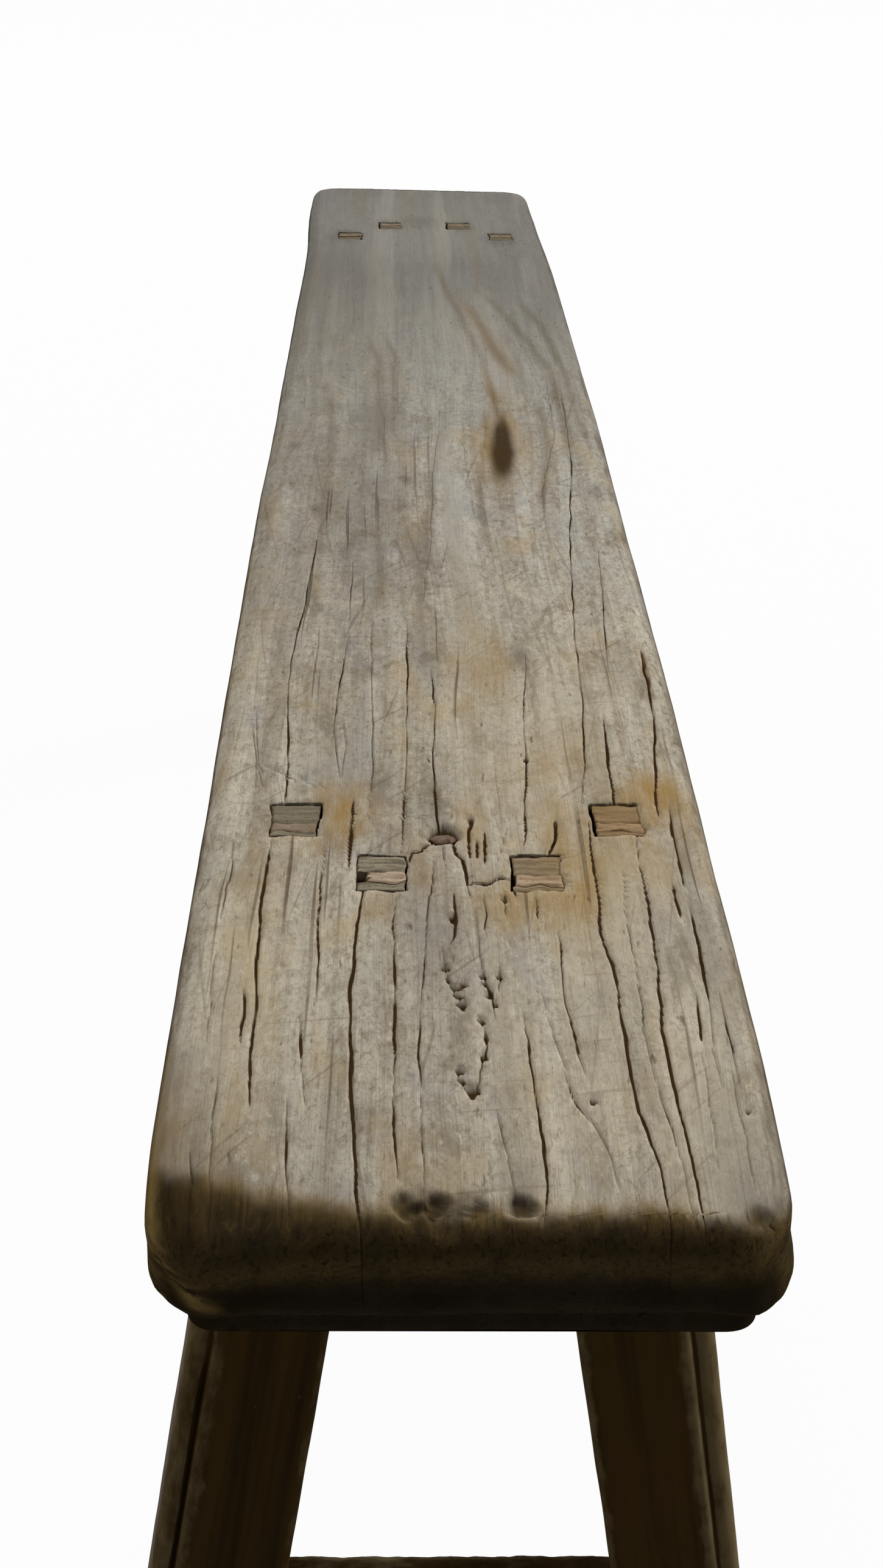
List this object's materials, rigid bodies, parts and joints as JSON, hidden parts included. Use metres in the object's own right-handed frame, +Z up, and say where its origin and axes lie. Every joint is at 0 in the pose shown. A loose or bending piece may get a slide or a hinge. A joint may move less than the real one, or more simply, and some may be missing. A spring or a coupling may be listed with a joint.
{
  "type": "wooden bench",
  "caption": "Long narrow country bench: a thick rounded plank seat on splayed legs with wedged through tenons, side aprons and end stretchers.",
  "frame": {"origin": "on the floor under the middle of the seat", "axes": "+X along the seat towards its near end, +Y across it to the right-hand side, +Z up"},
  "size_m": [1.415, 0.313, 0.5],
  "materials": {
    "seat_wood": "weathered, dry and open-grained",
    "leg_wood": "dark old patina",
    "rail_wood": "dark old patina",
    "wedge_wood": "weathered end grain",
    "nail_iron": "rusted"
  },
  "bodies": {
    "root": {"seat_plank": "seat_wood", "leg_near_right": "leg_wood", "leg_near_left": "leg_wood", "leg_far_right": "leg_wood", "leg_far_left": "leg_wood", "wedge_near_right_inner": "wedge_wood", "wedge_near_right_outer": "wedge_wood", "wedge_near_left_inner": "wedge_wood", "wedge_near_left_outer": "wedge_wood", "wedge_far_right_inner": "wedge_wood", "wedge_far_right_outer": "wedge_wood", "wedge_far_left_inner": "wedge_wood", "wedge_far_left_outer": "wedge_wood", "stretcher_near": "rail_wood", "stretcher_far": "rail_wood", "stretcher_wedge_near_right": "wedge_wood", "stretcher_wedge_near_left": "wedge_wood", "stretcher_wedge_far_right": "wedge_wood", "stretcher_wedge_far_left": "wedge_wood", "apron_right": "rail_wood", "apron_left": "rail_wood", "seat_nail": "nail_iron"}
  },
  "joints": []
}
